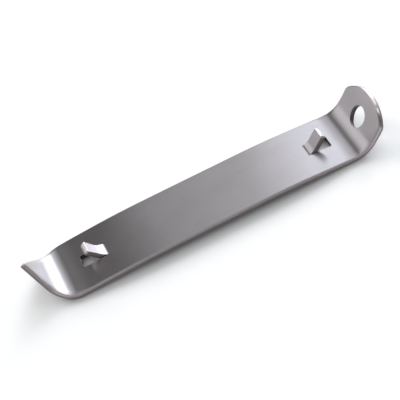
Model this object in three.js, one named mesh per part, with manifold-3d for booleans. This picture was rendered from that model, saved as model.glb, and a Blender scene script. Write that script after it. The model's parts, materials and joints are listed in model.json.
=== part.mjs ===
// A pocket can piercer and bottle opener, pressed from one strip of stainless steel.
// Millimetres. X runs along the strip from the piercer's point to the opener's lip, Y across it, Z up.
// The origin is on the surface the opener stands on, under the middle of its bounding box.
import * as THREE from "three";
import { mergeVertices } from "three/addons/utils/BufferGeometryUtils.js";
import Module from "manifold-3d";

const { degToRad } = THREE.MathUtils;

// The strip
const STRIP_WIDTH = 19;
const THICKNESS = 1.5;

// Its side view, measured along the top face outwards from the middle
const FLAT_HALF_LENGTH = 13;
const ARCH_LENGTH = 17;
const ARCH_DROP = degToRad(4.1);
const BEND_START = 40.2;
const STRAIGHT_LENGTH = BEND_START - FLAT_HALF_LENGTH - ARCH_LENGTH;

// Piercer end: an upward bend, then a flat V with a blunt point
const PIERCER_BEND_RADIUS = 5.4;
const PIERCER_BEND_TURN = degToRad(67);
const PIERCER_FLAT_LENGTH = 7.5;
const POINT_HALF_ANGLE = degToRad(34.5);
const POINT_RADIUS = 0.6;
const SHOULDER_RADIUS = 6;

// Opener end: an upward bend, then a lip that curls on to a round end
const LIP_BEND_RADIUS = 6.8;
const LIP_BEND_TURN = degToRad(53);
const LIP_CURL_RADIUS = 45;
const LIP_LENGTH = 9.1;
const LIP_END_RADIUS = 12.5;
const LIP_CORNER_RADIUS = 2.3;
const HANGING_HOLE_RADIUS = 3;
const HANGING_HOLE_FROM_END = 7.3;

// Windows left where the two catches are cut free, from the middle outwards
const WINDOW_WIDTH = 4.2;
const RIM_WINDOW = { start: 28.2, end: 35.5 };
const CAP_WINDOW = { start: 30.7, end: 37.6 };

// The catches rise in two steps: a root bend, a low stretch, a second bend and a steeper free end.
const CATCH_ROOT_BEND_LENGTH = 0.8;
const CATCH_ROOT_TURN = degToRad(33);
const CATCH_SECOND_TURN = degToRad(22);
const RIM_CATCH = { low: 0.9, secondBend: 1.0, free: 3.9, rootHalf: 2.05, waistHalf: 1.75, endHalf: 1.95 };
const CAP_CATCH = { low: 0.5, secondBend: 0.9, free: 4.3, rootHalf: 2.05, waistHalf: 1.9, endHalf: 1.95 };
const WAIST_AT = 0.45;

// Where the strip is divided into its formed zones
const HANDLE_HALF_LENGTH = 26;

// How finely curves are divided
const CURVE_STEP = degToRad(5);
const OUTLINE_STEPS = 8;
const HOLE_SIDES = 48;
const CUT_CLEARANCE = 2;

const MATERIALS = {
  brushed: new THREE.MeshStandardMaterial({ color: 0x9c9a9c, roughness: 0.38, metalness: 1 }),
  pressed: new THREE.MeshStandardMaterial({ color: 0xb4b3b6, roughness: 0.24, metalness: 1 }),
};

const wasm = await Module();
wasm.setup();

// ---- Side views ----

const archedHalf = [
  { length: FLAT_HALF_LENGTH, turn: 0 },
  { length: ARCH_LENGTH, turn: -ARCH_DROP },
  { length: STRAIGHT_LENGTH, turn: 0 },
];
const piercerSide = [
  ...archedHalf,
  { length: PIERCER_BEND_RADIUS * PIERCER_BEND_TURN, turn: PIERCER_BEND_TURN },
  { length: PIERCER_FLAT_LENGTH, turn: 0 },
];
const openerSide = [
  ...archedHalf,
  { length: LIP_BEND_RADIUS * LIP_BEND_TURN, turn: LIP_BEND_TURN },
  { length: LIP_LENGTH, turn: LIP_LENGTH / LIP_CURL_RADIUS },
];

const lengthOf = (side) => side.reduce((sum, stretch) => sum + stretch.length, 0);

// The station at a distance along a side view: where its top face is, and how steeply it rises there.
function stationAt(side, distance, start = { x: 0, z: 0, angle: 0 }) {
  const station = { ...start };
  let left = distance;
  for (const { length, turn } of side) {
    const run = Math.min(left, length);
    if (run <= 0) break;
    const bend = (turn * run) / length;
    const chord = bend === 0 ? run : (2 * run * Math.sin(bend / 2)) / bend;
    station.x += chord * Math.cos(station.angle + bend / 2);
    station.z += chord * Math.sin(station.angle + bend / 2);
    station.angle += bend;
    left -= run;
  }
  return station;
}

// Distances along a side view that are enough to follow its curves, between two limits.
function stops(side, from, to) {
  const found = [from, to];
  let start = 0;
  for (const { length, turn } of side) {
    const count = Math.max(1, Math.ceil(Math.abs(turn) / CURVE_STEP));
    for (let i = 0; i <= count; i += 1) found.push(start + (length * i) / count);
    start += length;
  }
  return tidyStops(found, from, to);
}

// Sorted, inside the limits, and with no two nearly alike.
function tidyStops(distances, from, to) {
  const inside = distances.filter((d) => d >= from && d <= to).sort((a, b) => a - b);
  return inside.filter((d, i) => i === 0 || d - inside[i - 1] > 1e-3);
}

// ---- Solids swept along a side view ----

// A closed solid along a side view: at each stop, a rectangle from one depth below the top face to another.
// facing is -1 for the half of the strip towards the piercer and 1 for the half towards the opener.
function sweep(side, stopList, halfWidth, facing, options = {}) {
  const { start, top = 0, bottom = THICKNESS } = options;
  const positions = [];
  for (const distance of stopList) {
    const { x, z, angle } = stationAt(side, distance, start);
    const half = halfWidth(distance);
    for (const [y, depth] of [[half, top], [-half, top], [-half, bottom], [half, bottom]]) {
      const along = x + depth * Math.sin(angle);
      positions.push(facing * along, y, z - depth * Math.cos(angle));
    }
  }
  const index = [];
  const quad = (a, b, c, d) => index.push(a, b, c, a, c, d);
  const last = (stopList.length - 1) * 4;
  for (let ring = 0; ring < last; ring += 4) {
    for (let k = 0; k < 4; k += 1) {
      const next = (k + 1) % 4;
      quad(ring + k, ring + next, ring + 4 + next, ring + 4 + k);
    }
  }
  quad(3, 2, 1, 0);
  quad(last, last + 1, last + 2, last + 3);
  if (facing < 0) index.reverse();
  const geometry = new THREE.BufferGeometry();
  geometry.setAttribute("position", new THREE.Float32BufferAttribute(positions, 3));
  geometry.setIndex(index);
  return geometry;
}

const constant = (value) => () => value;

// ---- Booleans ----

function solidOf(geometry) {
  const bare = geometry.clone();
  bare.deleteAttribute("normal");
  bare.deleteAttribute("uv");
  const merged = mergeVertices(bare, 1e-5);
  const vertProperties = merged.getAttribute("position").array;
  const triVerts = new Uint32Array(merged.index.array);
  return new wasm.Manifold(new wasm.Mesh({ numProp: 3, vertProperties, triVerts }));
}

function cut(geometry, cutter) {
  const mesh = solidOf(geometry).subtract(solidOf(cutter)).getMesh();
  const result = new THREE.BufferGeometry();
  result.setAttribute("position", new THREE.Float32BufferAttribute(mesh.vertProperties, 3));
  result.setIndex([...mesh.triVerts]);
  return result;
}

// ---- Outlines of the two ends ----

// A V whose sides run from a small round at the point to rounded shoulders at the full width.
function pointOutline() {
  const end = lengthOf(piercerSide);
  const half = STRIP_WIDTH / 2;
  const slope = Math.tan(POINT_HALF_ANGLE);
  const roundDepth = POINT_RADIUS * (1 - Math.sin(POINT_HALF_ANGLE));
  const roundHalf = POINT_RADIUS * Math.cos(POINT_HALF_ANGLE);
  const corner = end - roundDepth - (half - roundHalf) / slope;
  const tangent = SHOULDER_RADIUS * Math.tan(POINT_HALF_ANGLE / 2);
  const shoulderStart = corner - tangent;
  const shoulderEnd = corner + tangent * Math.cos(POINT_HALF_ANGLE);
  const distances = [];
  for (let i = 0; i <= OUTLINE_STEPS; i += 1) {
    const turn = (POINT_HALF_ANGLE * i) / OUTLINE_STEPS;
    distances.push(shoulderStart + SHOULDER_RADIUS * Math.sin(turn));
    const left = (Math.PI / 2 - POINT_HALF_ANGLE) * (1 - i / OUTLINE_STEPS);
    if (i < OUTLINE_STEPS) distances.push(end - POINT_RADIUS * (1 - Math.cos(left)));
  }
  const halfWidth = (distance) => {
    if (distance <= shoulderStart) return half;
    if (distance <= shoulderEnd) {
      const run = distance - shoulderStart;
      return half - SHOULDER_RADIUS + Math.sqrt(SHOULDER_RADIUS ** 2 - run ** 2);
    }
    const toEnd = end - distance;
    if (toEnd >= roundDepth) return roundHalf + (toEnd - roundDepth) * slope;
    return Math.sqrt(Math.max(0, POINT_RADIUS ** 2 - (POINT_RADIUS - toEnd) ** 2));
  };
  return { end, distances, halfWidth };
}

// A shallow round end whose corners are rounded off into the straight sides.
function lipOutline() {
  const end = lengthOf(openerSide);
  const half = STRIP_WIDTH / 2;
  const centre = end - LIP_END_RADIUS;
  const cornerHalf = half - LIP_CORNER_RADIUS;
  const between = LIP_END_RADIUS - LIP_CORNER_RADIUS;
  const cornerCentre = centre + Math.sqrt(between ** 2 - cornerHalf ** 2);
  const meeting = Math.asin(cornerHalf / between);
  const arcStart = centre + LIP_END_RADIUS * Math.cos(meeting);
  const distances = [];
  for (let i = 0; i <= OUTLINE_STEPS; i += 1) {
    const turn = (Math.PI / 2 - meeting) * (i / OUTLINE_STEPS);
    distances.push(cornerCentre + LIP_CORNER_RADIUS * Math.sin(turn));
    const left = meeting * (1 - i / OUTLINE_STEPS);
    if (i < OUTLINE_STEPS) distances.push(centre + LIP_END_RADIUS * Math.cos(left));
  }
  const halfWidth = (distance) => {
    if (distance <= cornerCentre) return half;
    if (distance <= arcStart) {
      const run = distance - cornerCentre;
      return cornerHalf + Math.sqrt(LIP_CORNER_RADIUS ** 2 - run ** 2);
    }
    return Math.sqrt(Math.max(0, LIP_END_RADIUS ** 2 - (distance - centre) ** 2));
  };
  return { end, distances, halfWidth };
}

// ---- The formed zones ----

// The arched middle, which is held in the hand.
function handleStrip() {
  const half = constant(STRIP_WIDTH / 2);
  const outwards = stops(openerSide, 0, HANDLE_HALF_LENGTH);
  const piercerHalf = solidOf(sweep(piercerSide, outwards, half, -1));
  const openerHalf = solidOf(sweep(openerSide, outwards, half, 1));
  const mesh = piercerHalf.add(openerHalf).getMesh();
  const geometry = new THREE.BufferGeometry();
  geometry.setAttribute("position", new THREE.Float32BufferAttribute(mesh.vertProperties, 3));
  geometry.setIndex([...mesh.triVerts]);
  return geometry;
}

// The stretch between the handle and a bend, with the window that its catch was cut from.
function land(side, outline, window, facing) {
  const all = [...stops(side, HANDLE_HALF_LENGTH, BEND_START), ...outline.distances];
  const stretch = tidyStops(all, HANDLE_HALF_LENGTH, BEND_START);
  const plate = sweep(side, stretch, outline.halfWidth, facing);
  const through = { top: -CUT_CLEARANCE, bottom: THICKNESS + CUT_CLEARANCE };
  const opening = stops(side, window.start, window.end);
  return cut(plate, sweep(side, opening, constant(WINDOW_WIDTH / 2), facing, through));
}

// A bent-up end with its own outline, stopping just short of the outline's last point, where the width is nothing.
function bentEnd(side, outline, facing) {
  const bends = stops(side, BEND_START, outline.end);
  const blunt = Math.max(...outline.distances);
  const all = tidyStops([...bends, ...outline.distances], BEND_START, blunt);
  return sweep(side, all, outline.halfWidth, facing);
}

function openerLip(outline) {
  const lip = bentEnd(openerSide, outline, 1);
  const distance = lengthOf(openerSide) - HANGING_HOLE_FROM_END;
  const { x, z, angle } = stationAt(openerSide, distance);
  const length = THICKNESS + 2 * CUT_CLEARANCE;
  const drill = new THREE.CylinderGeometry(HANGING_HOLE_RADIUS, HANGING_HOLE_RADIUS, length, HOLE_SIDES);
  drill.rotateX(Math.PI / 2);
  drill.rotateY(-angle);
  drill.translate(x + (THICKNESS / 2) * Math.sin(angle), 0, z - (THICKNESS / 2) * Math.cos(angle));
  return cut(lip, drill);
}

// A tongue that rises out of its window, with its root on the window's inner wall.
function risingCatch(shape, strip, window, facing) {
  const side = [
    { length: CATCH_ROOT_BEND_LENGTH, turn: CATCH_ROOT_TURN },
    { length: shape.low, turn: 0 },
    { length: shape.secondBend, turn: CATCH_SECOND_TURN },
    { length: shape.free, turn: 0 },
  ];
  const start = stationAt(strip, window.start);
  const length = lengthOf(side);
  const waist = length * WAIST_AT;
  const ease = (from, to, t) => from + ((to - from) * (1 - Math.cos(Math.PI * t))) / 2;
  const halfWidth = (distance) =>
    distance < waist
      ? ease(shape.rootHalf, shape.waistHalf, distance / waist)
      : ease(shape.waistHalf, shape.endHalf, (distance - waist) / (length - waist));
  const count = 2 * OUTLINE_STEPS;
  const even = Array.from({ length: count + 1 }, (_, i) => (length * i) / count);
  const all = tidyStops([...stops(side, 0, length), ...even], 0, length);
  return sweep(side, all, halfWidth, facing, { start });
}

// ---- The opener ----

const opener = new THREE.Group();
const point = pointOutline();
const lip = lipOutline();

function addZone(name, material, geometry) {
  const mesh = new THREE.Mesh(geometry, material);
  mesh.name = name;
  opener.add(mesh);
}

addZone("handle_strip", MATERIALS.brushed, handleStrip());
addZone("piercer_land", MATERIALS.brushed, land(piercerSide, point, RIM_WINDOW, -1));
addZone("opener_land", MATERIALS.brushed, land(openerSide, lip, CAP_WINDOW, 1));
addZone("piercer_point", MATERIALS.pressed, bentEnd(piercerSide, point, -1));
addZone("opener_lip", MATERIALS.pressed, openerLip(lip));
addZone("rim_catch", MATERIALS.pressed, risingCatch(RIM_CATCH, piercerSide, RIM_WINDOW, -1));
addZone("cap_catch", MATERIALS.pressed, risingCatch(CAP_CATCH, openerSide, CAP_WINDOW, 1));

// Stand the two bends on z = 0, with the origin under the middle.
const box = new THREE.Box3().setFromObject(opener);
opener.position.set(-(box.min.x + box.max.x) / 2, 0, -box.min.z);

export default opener;
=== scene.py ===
"""A pocket can piercer and bottle opener, pressed from one strip of brushed stainless steel.

Each formed zone of the strip is built flat, as an outline with rounded sheared edges, and then bent along
the strip's side view. "along" runs along the top face from its middle, "across" runs over its width and
"depth" goes down from the top face. Those are in millimetres, and the meshes are in metres.
"""

import json
import math
from functools import lru_cache

import bpy
import numpy as np
from mathutils import Matrix, Vector
from mathutils.geometry import delaunay_2d_cdt


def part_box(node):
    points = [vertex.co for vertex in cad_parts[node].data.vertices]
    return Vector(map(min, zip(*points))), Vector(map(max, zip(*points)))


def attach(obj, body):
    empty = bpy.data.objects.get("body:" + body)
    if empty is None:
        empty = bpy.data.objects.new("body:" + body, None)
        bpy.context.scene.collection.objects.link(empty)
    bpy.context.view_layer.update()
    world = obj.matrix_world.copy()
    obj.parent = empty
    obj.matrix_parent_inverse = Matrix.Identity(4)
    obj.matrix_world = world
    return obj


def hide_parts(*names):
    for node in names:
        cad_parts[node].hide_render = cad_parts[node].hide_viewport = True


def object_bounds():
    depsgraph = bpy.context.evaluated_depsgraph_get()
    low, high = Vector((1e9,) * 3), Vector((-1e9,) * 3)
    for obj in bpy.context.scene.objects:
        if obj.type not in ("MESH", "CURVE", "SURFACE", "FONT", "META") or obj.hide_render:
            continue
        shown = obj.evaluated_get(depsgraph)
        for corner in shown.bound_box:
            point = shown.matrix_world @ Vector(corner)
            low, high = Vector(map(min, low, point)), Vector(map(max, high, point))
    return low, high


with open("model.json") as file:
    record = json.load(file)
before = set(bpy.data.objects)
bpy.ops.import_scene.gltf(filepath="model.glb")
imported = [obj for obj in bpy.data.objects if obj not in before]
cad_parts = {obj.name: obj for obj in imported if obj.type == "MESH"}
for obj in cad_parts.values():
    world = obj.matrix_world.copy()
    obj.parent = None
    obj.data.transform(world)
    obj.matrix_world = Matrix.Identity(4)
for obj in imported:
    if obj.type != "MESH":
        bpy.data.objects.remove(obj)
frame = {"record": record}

CAD_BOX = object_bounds()
MM = 0.001

# ---- Sizes: the strip's own come from the frame, and its bends repeat the CAD's driving dimensions ----

MOUNT_HEIGHT = {mount["name"]: mount["pos_m"][2] / MM for mount in frame["record"]["mounts"]}
HANDLE_LOW, HANDLE_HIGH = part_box("handle_strip")
STRIP_HALF = HANDLE_HIGH.y / MM
THICKNESS = MOUNT_HEIGHT["grip_top"] - MOUNT_HEIGHT["grip_underside"]
MIDDLE_X = (HANDLE_LOW.x + HANDLE_HIGH.x) / 2 / MM
TOP_Z = MOUNT_HEIGHT["grip_top"]

FLAT_HALF_LENGTH = 13
ARCH_LENGTH = 17
ARCH_DROP = math.radians(4.1)
BEND_START = 40.2
HANDLE_END = 26
TOWARDS_PIERCER = -1
TOWARDS_OPENER = 1

PIERCER_BEND_RADIUS = 5.4
PIERCER_BEND_TURN = math.radians(67)
PIERCER_FLAT_LENGTH = 7.5
POINT_HALF_ANGLE = math.radians(34.5)
POINT_RADIUS = 0.6
SHOULDER_RADIUS = 6

LIP_BEND_RADIUS = 6.8
LIP_BEND_TURN = math.radians(53)
LIP_CURL_RADIUS = 45
LIP_LENGTH = 9.1
LIP_END_RADIUS = 12.5
LIP_CORNER_RADIUS = 2.3
HOLE_RADIUS = 3
HOLE_FROM_END = 7.3

WINDOW_HALF = 2.1
WINDOW_CORNER_RADIUS = 0.4
RIM_WINDOW = (28.2, 35.5)
CAP_WINDOW = (30.7, 37.6)

CATCH_ROOT_BEND = (0.8, math.radians(33))
CATCH_SECOND_TURN = math.radians(22)
CATCH_CORNER_RADIUS = 0.35
WAIST_AT = 0.45
RIM_CATCH = {"low": 0.3, "second_bend": 2.2, "free": 3.3, "root": 2.05, "waist": 1.75, "end": 1.95}
CAP_CATCH = {"low": 0.2, "second_bend": 1.5, "free": 4.0, "root": 2.05, "waist": 1.9, "end": 1.95}

# The metal begins to turn gradually before each bend, and the bend proper starts later and is tighter, so
# that the ends stay close to the CAD's: how far before BEND_START, how far past it, and by how much
PIERCER_LEAD_IN = (0.6, 1.40, math.radians(14))
LIP_LEAD_IN = (1.8, 1.00, math.radians(7.0))

# Sheared edges: a soft roll on the side the punch entered, and a small one on the other
EDGE_ROLL = 0.40
BENT_EDGE_ROLL = 1.50
BENT_EDGE_FROM = (36.0, 42.0)       # distances from the middle over which the roll widens,
BENT_EDGE_UNTIL = (48.0, 52.0)      # and over which it narrows again
CATCH_ROLL = 0.16
WINDOW_ROLL = 0.02
HOLE_ROLL = 0.12
ROLL_SHAPE = 0.75                   # a roll's depth as a share of its width,
ROLL_DEEPEST = 0.32                 # up to this depth
UNDER_ROLL = 0.16
ROLL_STEPS = 6

# How closely faces and curves are divided
FLAT_STEP = 1.0
BEND_STEP = 0.25
CATCH_STEP = 0.12
ACROSS_STEP = 0.9
ARC_STEPS = 14
HOLE_SIDES = 72
FINE_COLUMN_ROWS = 3                # a catch's columns are this many of its rows apart
LEAST_SPACING = 0.04
LEAST_TRIANGLE = 1e-5               # square millimetres
CLEAR_OF_SEAM = 0.12                # between a seam's end and the points next to it
STRAIGHT_ACROSS_WITHIN = 3.0        # near the seams where the bends start, rolls go straight across
ROUNDING_ERROR = 1e-9
TRIANGULATION_ERROR = 1e-7
SAME_PLACE = 1e-6

# How far the points inside a face keep from its outlines
HANDLE_MARGIN = 0.3
LAND_MARGIN = 0.2
BENT_END_MARGIN = 0.12
CATCH_MARGIN = 0.06


# ---- Side views ----

def side_view(stretches, start=(0.0, 0.0, 0.0)):
    """A function giving x, z, steepness and curvature at a distance along stretches of (length, turn)."""

    @lru_cache(maxsize=None)
    def station(distance):
        x, z, angle = start
        curvature = 0.0
        left = distance
        for length, turn in stretches:
            run = min(left, length)
            if run <= 0:
                break
            curvature = turn / length
            bend = curvature * run
            chord = 2 * run * math.sin(bend / 2) / bend if bend else run
            x += chord * math.cos(angle + bend / 2)
            z += chord * math.sin(angle + bend / 2)
            angle += bend
            left -= run
        return x, z, angle, curvature

    return station


def facing_of(along):
    """Which half of the strip a place is on."""
    return TOWARDS_PIERCER if along < 0 else TOWARDS_OPENER


def half_strip(bend_radius, bend_turn, lead_in):
    """Half the strip's stretches, from its middle to the end of its bend."""
    before, past, lead_turn = lead_in
    return [
        (FLAT_HALF_LENGTH, 0.0),
        (ARCH_LENGTH, -ARCH_DROP),
        (BEND_START - FLAT_HALF_LENGTH - ARCH_LENGTH - before, 0.0),
        (before + past, lead_turn),
        (bend_radius * bend_turn - past, bend_turn - lead_turn),
    ]


PIERCER_STRETCHES = half_strip(PIERCER_BEND_RADIUS, PIERCER_BEND_TURN, PIERCER_LEAD_IN)
PIERCER_STRETCHES.append((PIERCER_FLAT_LENGTH, 0.0))
OPENER_STRETCHES = half_strip(LIP_BEND_RADIUS, LIP_BEND_TURN, LIP_LEAD_IN)
OPENER_STRETCHES.append((LIP_LENGTH, LIP_LENGTH / LIP_CURL_RADIUS))
PIERCER_SIDE = side_view(PIERCER_STRETCHES)
OPENER_SIDE = side_view(OPENER_STRETCHES)
PIERCER_END = sum(length for length, turn in PIERCER_STRETCHES)
OPENER_END = sum(length for length, turn in OPENER_STRETCHES)


def strip_course(along):
    """Where the strip's top face lies at a distance along it: x, z, slope and curvature."""
    facing = facing_of(along)
    side = PIERCER_SIDE if facing == TOWARDS_PIERCER else OPENER_SIDE
    x, z, angle, curvature = side(abs(along))
    return facing * x, z, facing * angle, curvature


def catch_course(shape, strip_side, root):
    """The same for a catch, which leaves the strip at its window's inner wall."""
    stretches = [
        CATCH_ROOT_BEND,
        (shape["low"], 0.0),
        (shape["second_bend"], CATCH_SECOND_TURN),
        (shape["free"], 0.0),
    ]
    station = side_view(stretches, strip_side(root)[:3])

    def course(along):
        x, z, angle, curvature = station(abs(along) - root)
        return facing_of(along) * x, z, facing_of(along) * angle, curvature

    return course, sum(length for length, turn in stretches)


# ---- Outlines of the flat strip ----

def even_stops(start, end, step):
    """Evenly spaced values from start to end, no further apart than step."""
    count = max(1, math.ceil((end - start) / step - ROUNDING_ERROR))
    return list(np.linspace(start, end, count + 1))


def spaced(points):
    """Points with near repeats dropped, except that the first and last are always kept."""
    kept = [points[0]]
    for point in points[1:-1]:
        if math.dist(point, kept[-1]) > LEAST_SPACING and math.dist(point, points[-1]) > LEAST_SPACING:
            kept.append(point)
    return kept + [points[-1]]


def point_outline():
    """The piercer's V: stops along its curves, and its half width at a distance from the middle."""
    slope = math.tan(POINT_HALF_ANGLE)
    round_depth = POINT_RADIUS * (1 - math.sin(POINT_HALF_ANGLE))
    round_half = POINT_RADIUS * math.cos(POINT_HALF_ANGLE)
    corner = PIERCER_END - round_depth - (STRIP_HALF - round_half) / slope
    tangent = SHOULDER_RADIUS * math.tan(POINT_HALF_ANGLE / 2)
    shoulder_start = corner - tangent
    shoulder_end = corner + tangent * math.cos(POINT_HALF_ANGLE)
    turns = np.linspace(0, POINT_HALF_ANGLE, ARC_STEPS + 1)
    lefts = np.linspace(0, math.pi / 2 - POINT_HALF_ANGLE, ARC_STEPS + 1)
    stops = [shoulder_start + SHOULDER_RADIUS * math.sin(turn) for turn in turns]
    stops += [PIERCER_END - POINT_RADIUS * (1 - math.cos(left)) for left in lefts[1:]]

    def half_width(distance):
        if distance <= shoulder_start:
            return STRIP_HALF
        if distance <= shoulder_end:
            run = distance - shoulder_start
            return STRIP_HALF - SHOULDER_RADIUS + math.sqrt(SHOULDER_RADIUS ** 2 - run ** 2)
        to_end = PIERCER_END - distance
        if to_end >= round_depth:
            return round_half + (to_end - round_depth) * slope
        return math.sqrt(max(0.0, POINT_RADIUS ** 2 - (POINT_RADIUS - to_end) ** 2))

    return stops, half_width


def lip_outline():
    """The opener's lip: a shallow round end with its corners rounded off."""
    centre = OPENER_END - LIP_END_RADIUS
    corner_half = STRIP_HALF - LIP_CORNER_RADIUS
    between = LIP_END_RADIUS - LIP_CORNER_RADIUS
    corner_centre = centre + math.sqrt(between ** 2 - corner_half ** 2)
    meeting = math.asin(corner_half / between)
    arc_start = centre + LIP_END_RADIUS * math.cos(meeting)
    turns = np.linspace(0, math.pi / 2 - meeting, ARC_STEPS + 1)
    lefts = np.linspace(0, meeting, 2 * ARC_STEPS + 1)
    stops = [corner_centre + LIP_CORNER_RADIUS * math.sin(turn) for turn in turns]
    stops += [centre + LIP_END_RADIUS * math.cos(left) for left in lefts[1:]]

    def half_width(distance):
        if distance <= corner_centre:
            return STRIP_HALF
        if distance <= arc_start:
            run = distance - corner_centre
            return corner_half + math.sqrt(LIP_CORNER_RADIUS ** 2 - run ** 2)
        return math.sqrt(max(0.0, LIP_END_RADIUS ** 2 - (distance - centre) ** 2))

    return stops, half_width


def catch_half_width(shape, root, length):
    """A catch's half width, from its root to a waist and out again to its free end."""
    waist = length * WAIST_AT

    def ease(start, end, share):
        return start + (end - start) * (1 - math.cos(math.pi * share)) / 2

    def half_width(distance):
        run = distance - root
        if run < waist:
            return ease(shape["root"], shape["waist"], run / waist)
        return ease(shape["waist"], shape["end"], (run - waist) / (length - waist))

    return half_width


def arc(centre, radius, start, end, steps):
    """Points of an arc about centre, from one angle to another, without its first point."""
    angles = np.linspace(start, end, steps + 1)[1:]
    return [(centre[0] + radius * math.cos(a), centre[1] + radius * math.sin(a)) for a in angles]


def seam(along, half, roll):
    """The points inside a seam that runs over the width, from the near side to the far side. They keep
    clear of the edge rolls at its two ends."""
    flat_half = half - roll - CLEAR_OF_SEAM
    return [(along, across) for across in even_stops(-flat_half, flat_half, ACROSS_STEP)]


def both_ways(near_side, end_points, start_points):
    """A closed outline, anticlockwise from above, from its near side, which the far side mirrors."""
    far_side = [(along, -across) for along, across in reversed(near_side)]
    return near_side + end_points + far_side + start_points


def window_outline(window):
    """A window's outline, clockwise from above. Its inner wall is a seam, where the catch is rooted."""
    inner, outer = window
    corner = outer - WINDOW_CORNER_RADIUS
    corner_half = WINDOW_HALF - WINDOW_CORNER_RADIUS
    far_side = [(along, WINDOW_HALF) for along in even_stops(inner, corner, FLAT_STEP)]
    far_side += arc((corner, corner_half), WINDOW_CORNER_RADIUS, math.pi / 2, 0, ARC_STEPS // 2)
    return far_side + [(along, -across) for along, across in reversed(far_side)]


def hole_outline():
    """The hanging hole's outline, clockwise from above."""
    centre = (OPENER_END - HOLE_FROM_END, 0.0)
    return arc(centre, HOLE_RADIUS, 2 * math.pi, 0, HOLE_SIDES)


def faced(outline, facing):
    """An outline drawn for the opener's half, or mirrored on to the piercer's half."""
    if facing == TOWARDS_OPENER:
        return outline
    return [(-along, across) for along, across in reversed(outline)]


# ---- Bent plates ----

def smooth_step(value, start, end):
    """Goes smoothly from 0 at start to 1 at end."""
    share = min(1.0, max(0.0, (value - start) / (end - start)))
    return share * share * (3 - 2 * share)


def strip_roll(along):
    """How wide the roll on the strip's edge is: wider where it is bent, but narrow again at the tips."""
    out = abs(along)
    bent = smooth_step(out, *BENT_EDGE_FROM) * (1 - smooth_step(out, *BENT_EDGE_UNTIL))
    return EDGE_ROLL + (BENT_EDGE_ROLL - EDGE_ROLL) * bent


def strip_seam(along, half):
    """The points inside a seam over the whole strip."""
    return seam(along, half, strip_roll(along))


def edge_profile(width):
    """Down a sheared edge whose top roll has a width: rows of how far in from the outline, how deep, the
    normal's outward and upward shares, and how much of a cut face it is."""
    deep = min(ROLL_DEEPEST, ROLL_SHAPE * width)
    rows = []
    for turn in np.linspace(0, math.pi / 2, ROLL_STEPS + 1):
        out, up = deep * math.sin(turn), width * math.cos(turn)
        size = math.hypot(out, up)
        rows.append((width * (1 - math.sin(turn)), deep * (1 - math.cos(turn)), out / size, up / size,
                     math.sin(turn)))
    for turn in np.linspace(0, math.pi / 2, ROLL_STEPS + 1):
        out, down = math.cos(turn), math.sin(turn)
        rows.append((UNDER_ROLL * (1 - out), THICKNESS - UNDER_ROLL * (1 - down), out, -down, out))
    return rows


def edge_frames(points, free):
    """For each point of an outline: which way it moves as the edge is rounded in, and its outward normal."""
    forward = np.roll(points, -1, axis=0) - points
    forward /= np.linalg.norm(forward, axis=1)[:, None]
    outward = np.stack([forward[:, 1], -forward[:, 0]], axis=1)
    inset = np.zeros_like(points)
    normal = np.zeros_like(points)
    for i in range(len(points)):
        if free[i - 1] and free[i]:
            middle = outward[i - 1] + outward[i]
            normal[i] = middle / np.linalg.norm(middle)
            inset[i] = -normal[i] / (normal[i] @ outward[i])
        elif free[i - 1] or free[i]:
            normal[i] = outward[i - 1] if free[i - 1] else outward[i]
            seam_way = forward[i] if free[i - 1] else forward[i - 1]
            inset[i] = -seam_way / (seam_way @ normal[i])
    return inset, normal


def inside(points, loops):
    """Which points lie inside the first loop and outside the others."""
    odd = np.zeros(len(points), bool)
    for loop in loops:
        for (x0, y0), (x1, y1) in zip(loop, np.roll(loop, -1, axis=0)):
            crosses = (y0 > points[:, 1]) != (y1 > points[:, 1])
            if y0 != y1:
                odd ^= crosses & (points[:, 0] < x0 + (points[:, 1] - y0) * (x1 - x0) / (y1 - y0))
    return odd


def away_from(points, loops, margin):
    """Which points are further than margin from every edge of the loops."""
    clear = np.ones(len(points), bool)
    for loop in loops:
        for start, end in zip(loop, np.roll(loop, -1, axis=0)):
            way = end - start
            share = np.clip((points - start) @ way / (way @ way), 0, 1)
            clear &= np.linalg.norm(points - start - share[:, None] * way, axis=1) > margin
    return clear


def face_triangles(loops, inner):
    """Triangles, anticlockwise from above, over the loops' points followed by the inner points."""
    every = np.concatenate([*loops, inner])
    edges = []
    first = 0
    for loop in loops:
        edges += [(first + i, first + (i + 1) % len(loop)) for i in range(len(loop))]
        first += len(loop)
    made = delaunay_2d_cdt([Vector(p) for p in every], edges, [], 0, TRIANGULATION_ERROR)
    source = [origin[0] for origin in made[3]]
    triangles = np.array([[source[corner] for corner in face] for face in made[2]])
    a, b, c = (every[triangles[:, corner]] for corner in range(3))
    area = ((b - a)[:, 0] * (c - a)[:, 1] - (b - a)[:, 1] * (c - a)[:, 0]) / 2
    return triangles[inside((a + b + c) / 3, loops) & (area > LEAST_TRIANGLE)]


def on_a_seam(edge, seams):
    """Whether an outline's edge, given by its two ends, lies on one of the seams."""
    return any(all(abs(abs(along) - seam_at) < SAME_PLACE for along, across in edge) for seam_at in seams)


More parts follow.
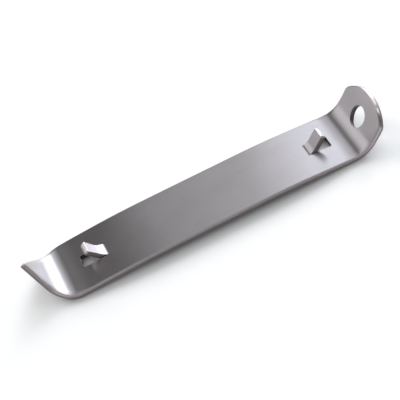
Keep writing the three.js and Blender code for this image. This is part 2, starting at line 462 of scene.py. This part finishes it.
class BentPlate:
    """One zone of the strip, bent along a course.

    edges holds each outline with a function for its roll's width. The first is the outside, the rest are
    holes. seams are the distances from the middle at which an outline is a seam and not a free edge. Points
    inside the faces lie in rows row_step apart, and keep margin away from the outlines.
    """

    def __init__(self, course, edges, seams, row_step, margin):
        self.course = course
        self.row_step = row_step
        self.margin = margin
        self.points, self.normals, self.flat_places = [], [], []
        self.cuts, self.depths, self.inners = [], [], []
        self.faces, self.corner_uvs, self.corner_normals = [], [], []
        top_rings, under_rings = [], []
        for number, (outline, roll) in enumerate(edges):
            self.inner = float(number > 0)      # marks the walls of windows and holes, which get painted shade
            loop = np.array(outline, float)
            ends = np.roll(loop, -1, axis=0)
            free = [not on_a_seam(edge, seams) for edge in zip(loop, ends)]
            rings = self.add_edge(loop, free, roll)
            top_rings.append(rings[0])
            under_rings.append(rings[-1])
        self.add_face(top_rings, 0.0, 1)
        self.add_face(under_rings, THICKNESS, -1)

    def add_point(self, along, across, depth, flat_normal, cut):
        """Bends one point, and its normal, which is given as shares along, across and up."""
        x, z, slope, curvature = self.course(along)
        tangent = np.array([math.cos(slope), 0, math.sin(slope)])
        up = np.array([-math.sin(slope), 0, math.cos(slope)])
        place = np.array([MIDDLE_X + x, across, TOP_Z + z]) - depth * up
        normal = flat_normal[0] / (1 + curvature * depth) * tangent + flat_normal[2] * up
        normal[1] = flat_normal[1]
        self.points.append(place * MM)
        self.normals.append(normal / max(np.linalg.norm(normal), ROUNDING_ERROR))
        self.flat_places.append((along, across))
        self.cuts.append(cut)
        self.depths.append(depth / THICKNESS)
        self.inners.append(self.inner)
        return len(self.points) - 1

    def add_faces(self, faces, uvs, flat=False):
        """Faces with their corners' UVs, shaded flat or with the smooth normals of their points."""
        for face, face_uvs in zip(faces, uvs):
            self.faces.append([int(corner) for corner in face])
            self.corner_uvs += face_uvs
            if flat:
                a, b, c = (self.points[corner] for corner in face[:3])
                normal = np.cross(b - a, c - b)
                self.corner_normals += [normal / np.linalg.norm(normal)] * len(face)
            else:
                self.corner_normals += [self.normals[corner] for corner in face]

    def add_edge(self, loop, free, roll):
        """The sheared edge round an outline, in rings from the top face down to the underside."""
        inset, normal = edge_frames(loop, free)
        from_bend = np.abs(np.abs(loop[:, 0]) - BEND_START)
        inset[:, 0] *= [smooth_step(distance, 0, STRAIGHT_ACROSS_WITHIN) for distance in from_bend]
        steps = np.linalg.norm(np.roll(loop, -1, axis=0) - loop, axis=1)
        run = np.concatenate([[0], np.cumsum(steps)])
        columns = []
        for point, inward, outward in zip(loop, inset, normal):
            columns.append([
                self.add_point(*(point + inward * far_in), depth, (*(outward * out), up), cut)
                for far_in, depth, out, up, cut in edge_profile(roll(point[0]))
            ])
        for i, is_free in enumerate(free):
            j = (i + 1) % len(loop)
            for upper in range(len(columns[i]) - 1):
                face = [columns[i][upper], columns[i][upper + 1], columns[j][upper + 1], columns[j][upper]]
                runs = [run[i], run[i], run[i + 1], run[i + 1]]
                uvs = [(along, self.depths[corner]) for along, corner in zip(runs, face)]
                self.add_faces([face], [uvs], flat=not is_free)
        return list(zip(*columns))

    def add_face(self, rings, depth, up):
        """The top face (up is 1) or the underside (-1) between the rings of the outlines."""
        places = [point for ring in rings for point in ring]
        loops = [np.array([self.flat_places[point] for point in ring]) for ring in rings]
        low, high = loops[0].min(axis=0), loops[0].max(axis=0)
        rows = even_stops(low[0], high[0], self.row_step)
        coarse = self.row_step >= BEND_STEP
        columns = even_stops(low[1], high[1], ACROSS_STEP if coarse else FINE_COLUMN_ROWS * self.row_step)
        grid = np.array([(row, column) for row in rows for column in columns])
        grid = grid[inside(grid, loops)]
        grid = grid[away_from(grid, loops, self.margin)]
        triangles = face_triangles(loops, grid)
        places += [self.add_point(*point, depth, (0, 0, up), 0.0) for point in grid]
        for triangle in triangles:
            face = [places[corner] for corner in triangle][::up]
            self.add_faces([face], [[self.flat_places[corner] for corner in face]])

    def make(self, name, material, slot, node):
        """The Blender object, riding on the object's one body in place of its CAD node."""
        mesh = bpy.data.meshes.new(name)
        mesh.from_pydata([tuple(point) for point in self.points], [], self.faces)
        mesh.materials.append(material)
        layer = mesh.uv_layers.new(name="grain")
        layer.data.foreach_set("uv", np.array(self.corner_uvs, np.float32).ravel())
        for attribute, values in (("cut", self.cuts), ("depth", self.depths), ("inner", self.inners)):
            mesh.attributes.new(attribute, "FLOAT", "POINT").data.foreach_set("value", values)
        mesh.normals_split_custom_set([tuple(normal) for normal in self.corner_normals])
        piece = bpy.data.objects.new(name, mesh)
        bpy.context.scene.collection.objects.link(piece)
        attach(piece, "root")
        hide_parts(node)
        return piece


# ---- The zones ----

def handle_plate():
    """The arched middle."""
    near = [(along, -STRIP_HALF) for along in even_stops(-HANDLE_END, HANDLE_END, FLAT_STEP)]
    opener_seam = strip_seam(HANDLE_END, STRIP_HALF)
    piercer_seam = strip_seam(-HANDLE_END, STRIP_HALF)[::-1]
    outline = both_ways(near, opener_seam, piercer_seam)
    return BentPlate(strip_course, [(outline, strip_roll)], [HANDLE_END], FLAT_STEP, HANDLE_MARGIN)


def land_plate(outline, window, facing):
    """The stretch between the handle and a bend, with its window."""
    stops, half_width = outline
    curved = [stop for stop in stops if HANDLE_END < stop < BEND_START - CLEAR_OF_SEAM]
    distances = sorted(even_stops(HANDLE_END, BEND_START, FLAT_STEP) + curved)
    near = spaced([(distance, -half_width(distance)) for distance in distances])
    bend_seam = strip_seam(BEND_START, half_width(BEND_START))
    outer = both_ways(near, bend_seam, strip_seam(HANDLE_END, STRIP_HALF)[::-1])
    window_edge = (faced(window_outline(window), facing), lambda along: WINDOW_ROLL)
    edges = [(faced(outer, facing), strip_roll), window_edge]
    seams = [HANDLE_END, BEND_START, window[0]]
    return BentPlate(strip_course, edges, seams, FLAT_STEP / 2, LAND_MARGIN)


def bent_end_plate(outline, end, facing, holes=()):
    """A bent-up end with its own outline, whose two sides meet at its last point."""
    stops, half_width = outline
    curved = [stop for stop in stops if BEND_START + CLEAR_OF_SEAM < stop < end]
    distances = sorted(even_stops(BEND_START, curved[-1], BEND_STEP) + curved + [end])
    near = spaced([(distance, -half_width(distance)) for distance in distances])
    outer = both_ways(near[:-1], near[-1:], strip_seam(BEND_START, half_width(BEND_START))[::-1])
    edges = [(faced(outer, facing), strip_roll)]
    edges += [(faced(hole, facing), lambda along: HOLE_ROLL) for hole in holes]
    return BentPlate(strip_course, edges, [BEND_START], BEND_STEP, BENT_END_MARGIN)


def catch_plate(shape, strip_side, window, facing):
    """A tongue lanced from its window and bent up in two steps."""
    root = window[0]
    course, length = catch_course(shape, strip_side, root)
    half_width = catch_half_width(shape, root, length)
    end = root + length
    corner = end - CATCH_CORNER_RADIUS
    corner_half = half_width(end) - CATCH_CORNER_RADIUS
    near = [(distance, -half_width(distance)) for distance in even_stops(root, corner, CATCH_STEP)]
    near += arc((corner, -corner_half), CATCH_CORNER_RADIUS, -math.pi / 2, 0, ARC_STEPS // 2)
    free_end = [(end, across) for across in even_stops(-corner_half, corner_half, ACROSS_STEP / 2)[1:-1]]
    outer = both_ways(near, free_end, seam(root, half_width(root), CATCH_ROLL)[::-1])
    edges = [(faced(outer, facing), lambda along: CATCH_ROLL)]
    return BentPlate(course, edges, [root], CATCH_STEP, CATCH_MARGIN)


# ---- Materials ----

# The Mix node's colour sockets, which share their names with its other sockets
MIX_COLOUR_A = 6
MIX_COLOUR_B = 7
MIX_COLOUR_RESULT = 2
NOISE_ROUGHNESS = 0.6


def colour(rgb):
    return (*rgb, 1.0)


class NodeTree:
    """Short ways to add and join nodes."""

    def __init__(self, tree):
        self.tree = tree
        self.tree.nodes.clear()

    def add(self, kind, inputs=None, **settings):
        """A node with its settings, and its inputs set to values or joined to other nodes' sockets."""
        node = self.tree.nodes.new(kind)
        for name, value in settings.items():
            setattr(node, name, value)
        for name, value in (inputs or {}).items():
            if isinstance(value, bpy.types.NodeSocket):
                self.tree.links.new(value, node.inputs[name])
            else:
                node.inputs[name].default_value = value
        return node

    def maths(self, operation, a, b=0.0):
        return self.add("ShaderNodeMath", {0: a, 1: b}, operation=operation).outputs[0]

    def smooth(self, value, low, high, to_low=0.0, to_high=1.0):
        """value taken smoothly from the range low..high to the range to_low..to_high."""
        inputs = {"Value": value, "From Min": low, "From Max": high, "To Min": to_low, "To Max": to_high}
        return self.add("ShaderNodeMapRange", inputs, interpolation_type="SMOOTHSTEP").outputs["Result"]

    def blend(self, share, a, b):
        """a where share is 0, and b where it is 1."""
        inputs = {"Factor": share, "A": a, "B": b}
        return self.add("ShaderNodeMix", inputs, data_type="FLOAT").outputs["Result"]

    def blend_colours(self, share, a, b):
        """The same for colours, each a socket or red, green and blue."""
        a, b = (c if isinstance(c, bpy.types.NodeSocket) else colour(c) for c in (a, b))
        inputs = {"Factor": share, MIX_COLOUR_A: a, MIX_COLOUR_B: b}
        return self.add("ShaderNodeMix", inputs, data_type="RGBA").outputs[MIX_COLOUR_RESULT]

    def stretched_noise(self, vector, frequencies, detail):
        """Noise between 0 and 1, with its own frequency along each axis."""
        scaled = self.add("ShaderNodeVectorMath", {0: vector, 1: frequencies}, operation="MULTIPLY")
        inputs = {
            "Vector": scaled.outputs["Vector"],
            "Scale": 1.0,
            "Detail": detail,
            "Roughness": NOISE_ROUGHNESS,
        }
        return self.add("ShaderNodeTexNoise", inputs).outputs["Fac"]


# ---- Materials: stainless steel ----

STEEL_DARK = (0.335, 0.315, 0.325)
STEEL_LIGHT = (0.420, 0.395, 0.410)
BURNISHED_CUT = (0.46, 0.415, 0.425)
TORN_CUT = (0.31, 0.28, 0.285)
INNER_WALL_PAINTED_SHADE = (0.085, 0.077, 0.075)   # painted shade: the walls inside the windows and the hole are painted dark, as if they lay in shade
TORN_FROM = (0.48, 0.62)            # share of the thickness below which the sheared face is torn
TORN_LINE_RAGGED = 0.25             # and how far its marks push that line up and down
CUT_FROM = (0.7, 0.98)              # values of the attribute "cut" over which a roll becomes a cut face
BRUSHED_ROUGHNESS = 0.29
PRESSED_ROUGHNESS = 0.34
BURNISHED_ROUGHNESS = 0.22
TORN_ROUGHNESS = 0.46
MARKS_ROUGHNESS = 0.10              # how much rougher or smoother the marks are
GRAIN_FADES = (0.0365, 0.0402)      # metres from the middle, where the bends start
GRAIN_STRETCH = 0.6                 # how far the grain stretches highlights, and which way it turns them
GRAIN_TURN = 0.25

# Marks: frequencies per millimetre along and across an edge or the strip, and how strongly they show
BROAD_LINES = (0.09, 2.2, 1.0)
FINE_LINES = (0.35, 14.0, 1.0)
FINE_LINES_SHARE = 0.55
SHEAR_LINES = (9.0, 0.8, 1.0)
PRESSED_LINES_SHOWN = 0.12
SHEAR_LINES_SHOWN = 0.8
MARKS_DEPTH = 0.004 * MM
MARKS_STRENGTH = 0.35

# Blotches: frequencies per metre, the range of the noise that shows, and how far it shifts the tone
BLOTCHES = (90.0, 140.0, 90.0)
BLOTCHES_FROM = (0.3, 0.7)
BLOTCHES_TONE = 0.12


def steel(name, grain):
    """Stainless steel with its mill grain along the strip, and shear marks across its cut edges.

    grain is how strongly the brushing shows. It fades out where the bends were pressed smooth.
    """
    material = bpy.data.materials.new(name)
    material.use_nodes = True
    nodes = NodeTree(material.node_tree)
    flat = nodes.add("ShaderNodeUVMap", uv_map="grain").outputs["UV"]
    cut_share = nodes.add("ShaderNodeAttribute", attribute_name="cut").outputs["Fac"]
    depth = nodes.add("ShaderNodeAttribute", attribute_name="depth").outputs["Fac"]
    inner = nodes.add("ShaderNodeAttribute", attribute_name="inner").outputs["Fac"]
    place = nodes.add("ShaderNodeTexCoord").outputs["Object"]
    from_middle = nodes.maths("ABSOLUTE", nodes.add("ShaderNodeSeparateXYZ", {0: place}).outputs["X"])
    brushed = nodes.smooth(from_middle, *GRAIN_FADES, grain, 0.0)
    cut = nodes.smooth(cut_share, *CUT_FROM)

    broad_lines = nodes.stretched_noise(flat, BROAD_LINES, detail=2.0)
    fine_lines = nodes.stretched_noise(flat, FINE_LINES, detail=3.0)
    blotches = nodes.stretched_noise(place, BLOTCHES, detail=2.0)
    shear_lines = nodes.stretched_noise(flat, SHEAR_LINES, detail=3.0)
    lines = nodes.blend(FINE_LINES_SHARE, broad_lines, fine_lines)
    marks = nodes.blend(cut, lines, shear_lines)
    shown = nodes.blend(cut, nodes.blend(brushed, PRESSED_LINES_SHOWN, 1.0), SHEAR_LINES_SHOWN)
    contrast = nodes.maths("MULTIPLY", nodes.maths("SUBTRACT", marks, 0.5), shown)
    ragged_depth = nodes.maths("ADD", depth, nodes.maths("MULTIPLY", contrast, TORN_LINE_RAGGED))
    torn = nodes.maths("MULTIPLY", cut, nodes.smooth(ragged_depth, *TORN_FROM))

    blotch_tone = nodes.smooth(blotches, *BLOTCHES_FROM, -BLOTCHES_TONE, BLOTCHES_TONE)
    tone = nodes.maths("ADD", nodes.maths("ADD", contrast, 0.5), blotch_tone)
    metal = nodes.blend_colours(tone, STEEL_DARK, STEEL_LIGHT)
    metal = nodes.blend_colours(cut, metal, BURNISHED_CUT)
    metal = nodes.blend_colours(torn, metal, TORN_CUT)
    # Painted shade: the cut walls inside the windows and the hole are darkened as if in shade
    metal = nodes.blend_colours(nodes.maths("MULTIPLY", cut, inner), metal, INNER_WALL_PAINTED_SHADE)

    rough = nodes.blend(brushed, PRESSED_ROUGHNESS, BRUSHED_ROUGHNESS)
    rough = nodes.blend(cut, rough, BURNISHED_ROUGHNESS)
    rough = nodes.blend(torn, rough, TORN_ROUGHNESS)
    rough = nodes.maths("ADD", rough, nodes.maths("MULTIPLY", contrast, MARKS_ROUGHNESS))
    bump_inputs = {"Height": contrast, "Strength": MARKS_STRENGTH, "Distance": MARKS_DEPTH}
    bump = nodes.add("ShaderNodeBump", bump_inputs)
    tangent = nodes.add("ShaderNodeTangent", direction_type="UV_MAP", uv_map="grain").outputs["Tangent"]
    shader = nodes.add("ShaderNodeBsdfPrincipled", {
        "Base Color": metal,
        "Metallic": 1.0,
        "Roughness": rough,
        "Anisotropic": GRAIN_STRETCH,
        "Anisotropic Rotation": GRAIN_TURN,
        "Tangent": tangent,
        "Normal": bump.outputs["Normal"],
    })
    nodes.add("ShaderNodeOutputMaterial", {"Surface": shader.outputs["BSDF"]})
    return material


# ---- Stage ----

FLOOR_HALF = 3.0
FLOOR_GAP = 0.02 * MM               # between the object and the floor
FLOOR_PALE = (0.62, 0.62, 0.62)
FLOOR_PALER = (0.65, 0.65, 0.65)
# Painted shade: the floor is painted grey away from the object, standing in for the light falling off there
FLOOR_FAR_PAINTED_SHADE = (0.30, 0.30, 0.30)
FLOOR_SHADE_FADES = (0.12, 0.26)          # metres from the middle, over which the painted shade comes in
FLOOR_MOTTLE = (40.0, 40.0, 40.0)   # frequencies per metre
FLOOR_ROUGHNESS = 0.30


def pale_floor(height):
    """A plain pale floor, with painted shade that turns it grey far away, as if the light fell off there. It
    can be seen through from below, so that the underside can be looked at."""
    mesh = bpy.data.meshes.new("floor")
    corners = [(-FLOOR_HALF, -FLOOR_HALF, height), (FLOOR_HALF, -FLOOR_HALF, height),
               (FLOOR_HALF, FLOOR_HALF, height), (-FLOOR_HALF, FLOOR_HALF, height)]
    mesh.from_pydata(corners, [], [(0, 1, 2, 3)])
    material = bpy.data.materials.new("pale_floor")
    material.use_nodes = True
    nodes = NodeTree(material.node_tree)
    place = nodes.add("ShaderNodeTexCoord").outputs["Object"]
    mottle = nodes.stretched_noise(place, FLOOR_MOTTLE, detail=2.0)
    distance = nodes.add("ShaderNodeVectorMath", {0: place}, operation="LENGTH").outputs["Value"]
    paper_and_shade = nodes.blend_colours(mottle, FLOOR_PALE, FLOOR_PALER)
    # painted shade: grey far from the object
    paper_and_shade = nodes.blend_colours(nodes.smooth(distance, *FLOOR_SHADE_FADES), paper_and_shade, FLOOR_FAR_PAINTED_SHADE)
    shader = nodes.add("ShaderNodeBsdfPrincipled", {"Base Color": paper_and_shade, "Roughness": FLOOR_ROUGHNESS})
    clear = nodes.add("ShaderNodeBsdfTransparent")
    below = nodes.add("ShaderNodeNewGeometry").outputs["Backfacing"]
    mixed = nodes.add("ShaderNodeMixShader", {0: below, 1: shader.outputs[0], 2: clear.outputs[0]})
    nodes.add("ShaderNodeOutputMaterial", {"Surface": mixed.outputs[0]})
    mesh.materials.append(material)
    floor = bpy.data.objects.new("floor", mesh)
    bpy.context.scene.collection.objects.link(floor)


# How bright the studio is round the object: (degrees round from +X towards +Y, brightness)
PANELS_ABOVE = [
    (-180, 0.50), (-130, 0.55), (-60, 0.55), (-25, 0.20), (-6, 0.20), (-4, 2.2),
    (5, 2.2), (6.5, 0.25), (12.5, 0.25), (15, 1.8), (30, 2.0),
    (54, 2.6), (59, 0.95), (63.5, 0.80), (67, 2.25), (69, 2.60), (71.5, 0.95), (76.5, 0.88), (81, 0.74),
    (85.5, 0.54), (90, 0.34), (93, 0.14), (96, 0.03), (100, 0.01), (105, 0.10), (112, 0.60), (120, 1.50),
    (130, 2.00), (138, 1.90), (150, 0.90), (180, 0.50),
]
PANELS_AT_THE_HORIZON = [
    (-180, 0.50), (-120, 0.40), (-75, 0.45), (-25, 0.22), (-6, 0.22), (-4, 2.2), (5, 2.2), (6.5, 0.25),
    (12.5, 0.25), (15, 2.0), (48, 2.6), (65, 1.0), (90, 0.10), (105, 0.08), (120, 0.80), (140, 0.95),
    (180, 0.50),
]
PANEL_PEAK = 3.0
OVERHEAD = 0.65

# The rise, from 0 at the horizon to 1 overhead, over which each of those gives way to the next
HORIZON_RISE = (0.08, 0.30)
OVERHEAD_RISE = (0.93, 1.0)

# The lamp itself, low at the back right: where it comes and goes, as shares of the way round and as rises
LAMP_ROUND = ((0.590, 0.618), (0.655, 0.690))
LAMP_RISE = ((0.04, 0.10), (0.58, 0.76))
LAMP_BRIGHTNESS = 5.5

# The panels round to the right are cooler: shares of the way round over which that comes and goes
COOL_ROUND = ((0.60, 0.62), (0.675, 0.705))
COOL_LIGHT = (0.91, 0.985, 1.06)
NEUTRAL_LIGHT = (1.0, 1.0, 1.0)


def studio_world():
    """Soft panels round the object, brightest at the back right, with a dark gap straight behind it."""
    world = bpy.data.worlds.new("studio")
    world.use_nodes = True
    nodes = NodeTree(world.node_tree)
    way = nodes.add("ShaderNodeTexCoord").outputs["Generated"]
    split = nodes.add("ShaderNodeSeparateXYZ", {0: way})
    round_angle = nodes.maths("ARCTAN2", split.outputs["Y"], split.outputs["X"])
    share_round = nodes.maths("ADD", nodes.maths("DIVIDE", round_angle, 2 * math.pi), 0.5)

    def panels(stops):
        ramp = nodes.add("ShaderNodeValToRGB", {"Fac": share_round})
        elements = ramp.color_ramp.elements
        for angle, brightness in stops[1:-1]:
            elements.new(angle / 360 + 0.5)
        for element, (angle, brightness) in zip(elements, stops):
            element.position = angle / 360 + 0.5
            element.color = colour([brightness / PANEL_PEAK] * 3)
        return nodes.maths("MULTIPLY", ramp.outputs["Color"], PANEL_PEAK)

    rise = split.outputs["Z"]
    above = nodes.smooth(rise, *HORIZON_RISE)
    light = nodes.blend(above, panels(PANELS_AT_THE_HORIZON), panels(PANELS_ABOVE))
    light = nodes.blend(nodes.smooth(rise, *OVERHEAD_RISE), light, OVERHEAD)
    lamp = LAMP_BRIGHTNESS
    for value, (comes, goes) in ((share_round, LAMP_ROUND), (rise, LAMP_RISE)):
        lamp = nodes.maths("MULTIPLY", nodes.smooth(value, *comes), lamp)
        lamp = nodes.maths("MULTIPLY", nodes.smooth(value, *goes, 1.0, 0.0), lamp)
    light = nodes.maths("ADD", light, lamp)
    comes, goes = COOL_ROUND
    cool_until = nodes.smooth(share_round, *goes, 1.0, 0.0)
    cool = nodes.maths("MULTIPLY", nodes.smooth(share_round, *comes), cool_until)
    tint = nodes.blend_colours(cool, NEUTRAL_LIGHT, COOL_LIGHT)
    background = nodes.add("ShaderNodeBackground", {"Color": tint, "Strength": light})
    nodes.add("ShaderNodeOutputWorld", {"Surface": background.outputs[0]})
    bpy.context.scene.world = world


# The broad lights behind the object: where each shines from, and how strongly
KEYS = {"back_left": ((-0.40, 0.93, 0.41), 3.2), "back_right": ((0.35, 0.93, 0.41), 2.35)}
KEY_SPREAD = math.radians(40)


def key_lights():
    """Broad lights from behind, which lay the soft shadow towards the viewer and show in no reflection."""
    for name, (shines_from, strength) in KEYS.items():
        light = bpy.data.lights.new(name, "SUN")
        light.energy = strength
        light.angle = KEY_SPREAD
        lamp = bpy.data.objects.new(name, light)
        lamp.rotation_mode = "QUATERNION"
        lamp.rotation_quaternion = Vector(shines_from).to_track_quat("Z", "Y")
        lamp.visible_glossy = False
        bpy.context.scene.collection.objects.link(lamp)


CAMERA_AZIMUTH = math.radians(-8.87)
CAMERA_ELEVATION = math.radians(47.3)
CAMERA_ROLL = math.radians(19.72)
CAMERA_DISTANCE = 0.35204
CAMERA_AIM = Vector((-1.6, 0.2, 2.95)) * MM     # from the middle of the bottom of the CAD's box
CAMERA_LENS = 120.08
CAMERA_SENSOR = 36
CAMERA_CLIP = (0.01, 20)


def camera(bounds):
    """A long lens from the front and above, rolled so that the strip climbs to the right."""
    low, high = bounds
    aim = Vector(((low.x + high.x) / 2, (low.y + high.y) / 2, low.z)) + CAMERA_AIM
    back = Vector((
        math.sin(CAMERA_AZIMUTH) * math.cos(CAMERA_ELEVATION),
        -math.cos(CAMERA_AZIMUTH) * math.cos(CAMERA_ELEVATION),
        math.sin(CAMERA_ELEVATION),
    ))
    level = Vector((math.cos(CAMERA_AZIMUTH), math.sin(CAMERA_AZIMUTH), 0))
    right = level * math.cos(CAMERA_ROLL) - back.cross(level) * math.sin(CAMERA_ROLL)
    up = back.cross(right)
    data = bpy.data.cameras.new("camera")
    data.lens = CAMERA_LENS
    data.sensor_width = CAMERA_SENSOR
    data.clip_start, data.clip_end = CAMERA_CLIP
    view = bpy.data.objects.new("camera", data)
    facing = Matrix((right, up, back)).transposed().to_4x4()
    view.matrix_world = Matrix.Translation(aim + back * CAMERA_DISTANCE) @ facing
    bpy.context.scene.collection.objects.link(view)
    bpy.context.scene.camera = view


# ---- The opener ----

BRUSHED = steel("brushed_steel", grain=1.0)
PRESSED = steel("pressed_steel", grain=0.0)
POINT = point_outline()
LIP = lip_outline()

handle = handle_plate()
piercer_land = land_plate(POINT, RIM_WINDOW, TOWARDS_PIERCER)
opener_land = land_plate(LIP, CAP_WINDOW, TOWARDS_OPENER)
point = bent_end_plate(POINT, PIERCER_END, TOWARDS_PIERCER)
lip = bent_end_plate(LIP, OPENER_END, TOWARDS_OPENER, [hole_outline()])
rim_catch = catch_plate(RIM_CATCH, PIERCER_SIDE, RIM_WINDOW, TOWARDS_PIERCER)
cap_catch = catch_plate(CAP_CATCH, OPENER_SIDE, CAP_WINDOW, TOWARDS_OPENER)

handle.make("arched_handle", BRUSHED, "brushed_steel", "handle_strip")
piercer_land.make("piercer_side_land", BRUSHED, "brushed_steel", "piercer_land")
opener_land.make("opener_side_land", BRUSHED, "brushed_steel", "opener_land")
point.make("piercing_point", PRESSED, "pressed_steel", "piercer_point")
lip.make("bottle_lip", PRESSED, "pressed_steel", "opener_lip")
rim_catch.make("can_rim_hook", PRESSED, "pressed_steel", "rim_catch")
cap_catch.make("cap_hook", PRESSED, "pressed_steel", "cap_catch")

VISUAL_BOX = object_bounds()
pale_floor(VISUAL_BOX[0].z - FLOOR_GAP)
studio_world()
key_lights()
camera(CAD_BOX)
bpy.context.scene.view_settings.view_transform = "Standard"
